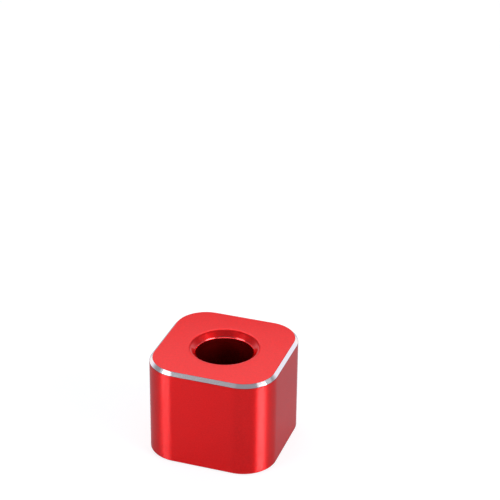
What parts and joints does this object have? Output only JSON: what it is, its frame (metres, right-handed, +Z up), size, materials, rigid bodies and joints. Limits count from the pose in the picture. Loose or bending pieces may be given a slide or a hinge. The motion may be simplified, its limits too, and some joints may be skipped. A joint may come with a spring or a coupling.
{
  "type": "pen stand",
  "caption": "Solid rounded-square desk block of anodised aluminium with a flared well that holds a pen upright, a bright-cut top edge, a felt disc in the well and a non-slip foot.",
  "frame": {"origin": "middle of the rubber foot's underside, where the stand rests on the desk", "axes": "+Z up along the axis of the well, +X and +Y square to the block's flat sides"},
  "size_m": [0.045, 0.045, 0.0353],
  "materials": {
    "anodised_red": "fine bead-blasted, red anodised, satin, with the chamfer round the top cut bright through the colour",
    "black_felt": "pressed felt, matt",
    "black_rubber": "fine-textured silicone rubber, matt",
    "adhesive_film": "double-sided adhesive film, translucent"
  },
  "bodies": {
    "root": {"block": "anodised_red", "felt_disc": "black_felt", "felt_disc_film": "adhesive_film", "rubber_foot": "black_rubber", "rubber_foot_film": "adhesive_film"}
  },
  "joints": []
}
